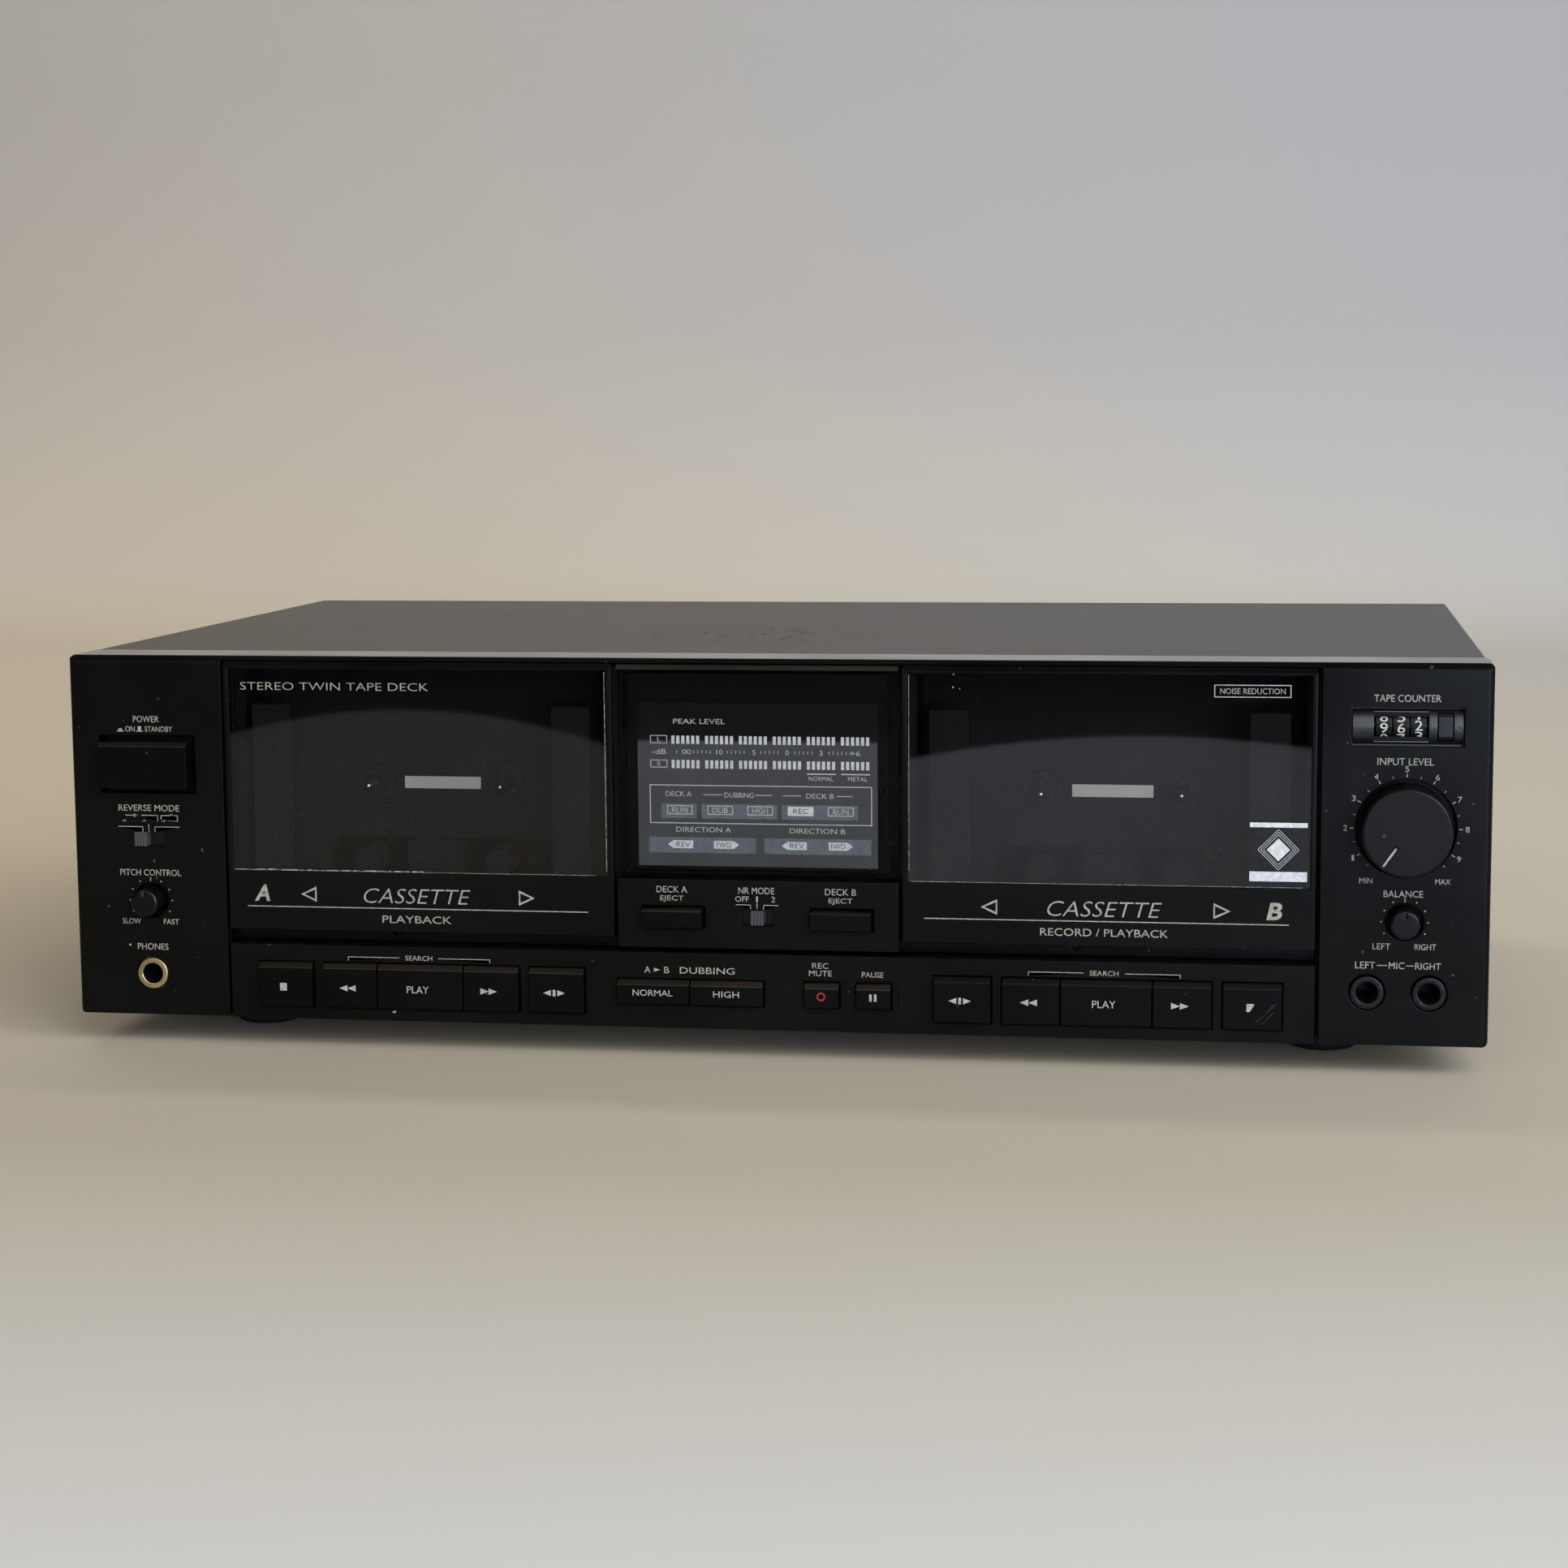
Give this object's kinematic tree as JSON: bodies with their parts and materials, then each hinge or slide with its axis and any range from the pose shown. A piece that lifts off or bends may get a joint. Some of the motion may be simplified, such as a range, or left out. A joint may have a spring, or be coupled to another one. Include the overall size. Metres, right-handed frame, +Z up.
{
  "type": "double cassette deck",
  "caption": "Full-width double cassette deck with two hinged tape doors, a level display, piano-style transport keys, rotary controls and a tape counter.",
  "frame": {"origin": "under the middle of the part, on the surface that it stands on", "axes": "+Z up, +X to the right of someone facing the front, -Y out of the front"},
  "size_m": [0.435, 0.2758, 0.123],
  "materials": {
    "fascia_abs": "fine moulded texture",
    "key_abs": "satin moulded",
    "gloss_abs": "gloss moulded",
    "well_abs": "matt moulded",
    "cover_paint": "satin baked paint",
    "zinc_steel": "zinc plated",
    "black_steel": "black oxide",
    "bright_steel": "polished",
    "gold_plate": "gold plated",
    "smoked_acrylic": "smoked clear",
    "display_print": "screen printed",
    "foot_rubber": "matt",
    "circuit_board": "solder resist",
    "lamination_steel": "varnished"
  },
  "bodies": {
    "casing": {"front_panel": "fascia_abs", "bay_frame": "fascia_abs", "centre_panel": "fascia_abs", "control_strip": "fascia_abs", "top_cover": "cover_paint", "chassis_base": "zinc_steel", "rear_panel": "cover_paint", "feet": "foot_rubber", "cover_screws": "black_steel", "display_window": "smoked_acrylic", "display_plate": "display_print", "potentiometers": "zinc_steel", "front_jacks": "gold_plate", "rear_jacks": "key_abs", "cord_gland": "foot_rubber", "main_board": "circuit_board", "transformer": "lamination_steel", "counter_housing": "gloss_abs", "mechanism_a": "well_abs", "mechanism_b": "well_abs"},
    "door_a": {"door_a_frame": "fascia_abs", "door_a_window": "smoked_acrylic", "door_a_holder": "well_abs"},
    "spindle_a_left": {"spindle_a_left": "well_abs"},
    "spindle_a_right": {"spindle_a_right": "well_abs"},
    "head_bridge_a": {"head_bridge_a": "bright_steel"},
    "flywheel_a": {"flywheel_a": "bright_steel"},
    "eject_button_a": {"eject_button_a": "key_abs"},
    "stop_key_a": {"stop_key_a": "key_abs"},
    "rewind_key_a": {"rewind_key_a": "key_abs"},
    "play_key_a": {"play_key_a": "key_abs"},
    "forward_key_a": {"forward_key_a": "key_abs"},
    "direction_key_a": {"direction_key_a": "key_abs"},
    "door_b": {"door_b_frame": "fascia_abs", "door_b_window": "smoked_acrylic", "door_b_holder": "well_abs"},
    "spindle_b_left": {"spindle_b_left": "well_abs"},
    "spindle_b_right": {"spindle_b_right": "well_abs"},
    "head_bridge_b": {"head_bridge_b": "bright_steel"},
    "flywheel_b": {"flywheel_b": "bright_steel"},
    "eject_button_b": {"eject_button_b": "key_abs"},
    "stop_key_b": {"stop_key_b": "key_abs"},
    "rewind_key_b": {"rewind_key_b": "key_abs"},
    "play_key_b": {"play_key_b": "key_abs"},
    "forward_key_b": {"forward_key_b": "key_abs"},
    "direction_key_b": {"direction_key_b": "key_abs"},
    "dub_normal_key": {"dub_normal_key": "key_abs"},
    "dub_high_key": {"dub_high_key": "key_abs"},
    "record_key": {"record_key": "key_abs"},
    "pause_key": {"pause_key": "key_abs"},
    "power_button": {"power_button": "key_abs"},
    "counter_reset": {"counter_reset": "key_abs"},
    "reverse_switch": {"reverse_switch": "key_abs"},
    "noise_switch": {"noise_switch": "key_abs"},
    "pitch_knob": {"pitch_knob": "key_abs"},
    "balance_knob": {"balance_knob": "key_abs"},
    "level_knob": {"level_knob": "key_abs"},
    "counter_units": {"counter_units": "gloss_abs"},
    "counter_tens": {"counter_tens": "gloss_abs"},
    "counter_hundreds": {"counter_hundreds": "gloss_abs"}
  },
  "joints": [
    {"name": "door_a_hinge", "type": "hinge", "parent": "casing", "child": "door_a", "pos_m": [-0.1057, -0.11985, 0.0406], "axis": [1, 0, 0], "range_deg": [0, 32]},
    {"name": "spindle_a_left_spin", "type": "hinge", "parent": "casing", "child": "spindle_a_left", "pos_m": [-0.12695, -0.10185, 0.0807], "axis": [0, 1, 0], "continuous": true},
    {"name": "spindle_a_right_spin", "type": "hinge", "parent": "casing", "child": "spindle_a_right", "pos_m": [-0.08445, -0.10185, 0.0807], "axis": [0, 1, 0], "continuous": true},
    {"name": "head_a_lift", "type": "slide", "parent": "casing", "child": "head_bridge_a", "axis": [0, 0, 1], "range_m": [0, 0.004]},
    {"name": "capstan_a_spin", "type": "hinge", "parent": "casing", "child": "flywheel_a", "pos_m": [-0.0752, -0.09185, 0.0617], "axis": [0, 1, 0], "continuous": true},
    {"name": "eject_a_press", "type": "slide", "parent": "casing", "child": "eject_button_a", "axis": [0, 1, 0], "range_m": [0, 0.0028], "stiffness_N_per_m": 500},
    {"name": "stop_a_press", "type": "slide", "parent": "casing", "child": "stop_key_a", "axis": [0, 1, 0], "range_m": [0, 0.0016], "stiffness_N_per_m": 500},
    {"name": "rewind_a_press", "type": "slide", "parent": "casing", "child": "rewind_key_a", "axis": [0, 1, 0], "range_m": [0, 0.0016], "stiffness_N_per_m": 500},
    {"name": "play_a_press", "type": "slide", "parent": "casing", "child": "play_key_a", "axis": [0, 1, 0], "range_m": [0, 0.0016], "stiffness_N_per_m": 500},
    {"name": "forward_a_press", "type": "slide", "parent": "casing", "child": "forward_key_a", "axis": [0, 1, 0], "range_m": [0, 0.0016], "stiffness_N_per_m": 500},
    {"name": "direction_a_press", "type": "slide", "parent": "casing", "child": "direction_key_a", "axis": [0, 1, 0], "range_m": [0, 0.0016], "stiffness_N_per_m": 500},
    {"name": "door_b_hinge", "type": "hinge", "parent": "casing", "child": "door_b", "pos_m": [0.1057, -0.11985, 0.0406], "axis": [1, 0, 0], "range_deg": [0, 32]},
    {"name": "spindle_b_left_spin", "type": "hinge", "parent": "casing", "child": "spindle_b_left", "pos_m": [0.08445, -0.10185, 0.0807], "axis": [0, 1, 0], "continuous": true},
    {"name": "spindle_b_right_spin", "type": "hinge", "parent": "casing", "child": "spindle_b_right", "pos_m": [0.12695, -0.10185, 0.0807], "axis": [0, 1, 0], "continuous": true},
    {"name": "head_b_lift", "type": "slide", "parent": "casing", "child": "head_bridge_b", "axis": [0, 0, 1], "range_m": [0, 0.004]},
    {"name": "capstan_b_spin", "type": "hinge", "parent": "casing", "child": "flywheel_b", "pos_m": [0.1362, -0.09185, 0.0617], "axis": [0, 1, 0], "continuous": true},
    {"name": "eject_b_press", "type": "slide", "parent": "casing", "child": "eject_button_b", "axis": [0, 1, 0], "range_m": [0, 0.0028], "stiffness_N_per_m": 500},
    {"name": "stop_b_press", "type": "slide", "parent": "casing", "child": "stop_key_b", "axis": [0, 1, 0], "range_m": [0, 0.0016], "stiffness_N_per_m": 500},
    {"name": "rewind_b_press", "type": "slide", "parent": "casing", "child": "rewind_key_b", "axis": [0, 1, 0], "range_m": [0, 0.0016], "stiffness_N_per_m": 500},
    {"name": "play_b_press", "type": "slide", "parent": "casing", "child": "play_key_b", "axis": [0, 1, 0], "range_m": [0, 0.0016], "stiffness_N_per_m": 500},
    {"name": "forward_b_press", "type": "slide", "parent": "casing", "child": "forward_key_b", "axis": [0, 1, 0], "range_m": [0, 0.0016], "stiffness_N_per_m": 500},
    {"name": "direction_b_press", "type": "slide", "parent": "casing", "child": "direction_key_b", "axis": [0, 1, 0], "range_m": [0, 0.0016], "stiffness_N_per_m": 500},
    {"name": "dub_normal_press", "type": "slide", "parent": "casing", "child": "dub_normal_key", "axis": [0, 1, 0], "range_m": [0, 0.0016], "stiffness_N_per_m": 500},
    {"name": "dub_high_press", "type": "slide", "parent": "casing", "child": "dub_high_key", "axis": [0, 1, 0], "range_m": [0, 0.0016], "stiffness_N_per_m": 500},
    {"name": "record_press", "type": "slide", "parent": "casing", "child": "record_key", "axis": [0, 1, 0], "range_m": [0, 0.0016], "stiffness_N_per_m": 500},
    {"name": "pause_press", "type": "slide", "parent": "casing", "child": "pause_key", "axis": [0, 1, 0], "range_m": [0, 0.0016], "stiffness_N_per_m": 500},
    {"name": "power_press", "type": "slide", "parent": "casing", "child": "power_button", "axis": [0, 1, 0], "range_m": [0, 0.0035], "stiffness_N_per_m": 500},
    {"name": "counter_reset_press", "type": "slide", "parent": "casing", "child": "counter_reset", "axis": [0, 1, 0], "range_m": [0, 0.002], "stiffness_N_per_m": 500},
    {"name": "reverse_slide", "type": "slide", "parent": "casing", "child": "reverse_switch", "axis": [1, 0, 0], "range_m": [0, 0.0054]},
    {"name": "noise_slide", "type": "slide", "parent": "casing", "child": "noise_switch", "axis": [1, 0, 0], "range_m": [-0.0027, 0.0027]},
    {"name": "pitch_turn", "type": "hinge", "parent": "casing", "child": "pitch_knob", "pos_m": [-0.19285, -0.12685, 0.046], "axis": [0, 1, 0], "range_deg": [-135, 135]},
    {"name": "balance_turn", "type": "hinge", "parent": "casing", "child": "balance_knob", "pos_m": [0.19285, -0.12685, 0.0466], "axis": [0, 1, 0], "range_deg": [-135, 135]},
    {"name": "level_turn", "type": "hinge", "parent": "casing", "child": "level_knob", "pos_m": [0.19285, -0.12685, 0.07435], "axis": [0, 1, 0], "range_deg": [0, 290]},
    {"name": "counter_units_spin", "type": "hinge", "parent": "casing", "child": "counter_units", "pos_m": [0.191, -0.12015, 0.1042], "axis": [1, 0, 0], "continuous": true},
    {"name": "counter_tens_spin", "type": "hinge", "parent": "casing", "child": "counter_tens", "pos_m": [0.191, -0.12015, 0.1042], "axis": [1, 0, 0], "continuous": true},
    {"name": "counter_hundreds_spin", "type": "hinge", "parent": "casing", "child": "counter_hundreds", "pos_m": [0.191, -0.12015, 0.1042], "axis": [1, 0, 0], "continuous": true}
  ],
  "couplings": [
    {"joint": "counter_units_spin", "follows": "spindle_b_right_spin", "ratio": 0.05},
    {"joint": "counter_tens_spin", "follows": "spindle_b_right_spin", "ratio": 0.005},
    {"joint": "counter_hundreds_spin", "follows": "spindle_b_right_spin", "ratio": 0.0005}
  ]
}
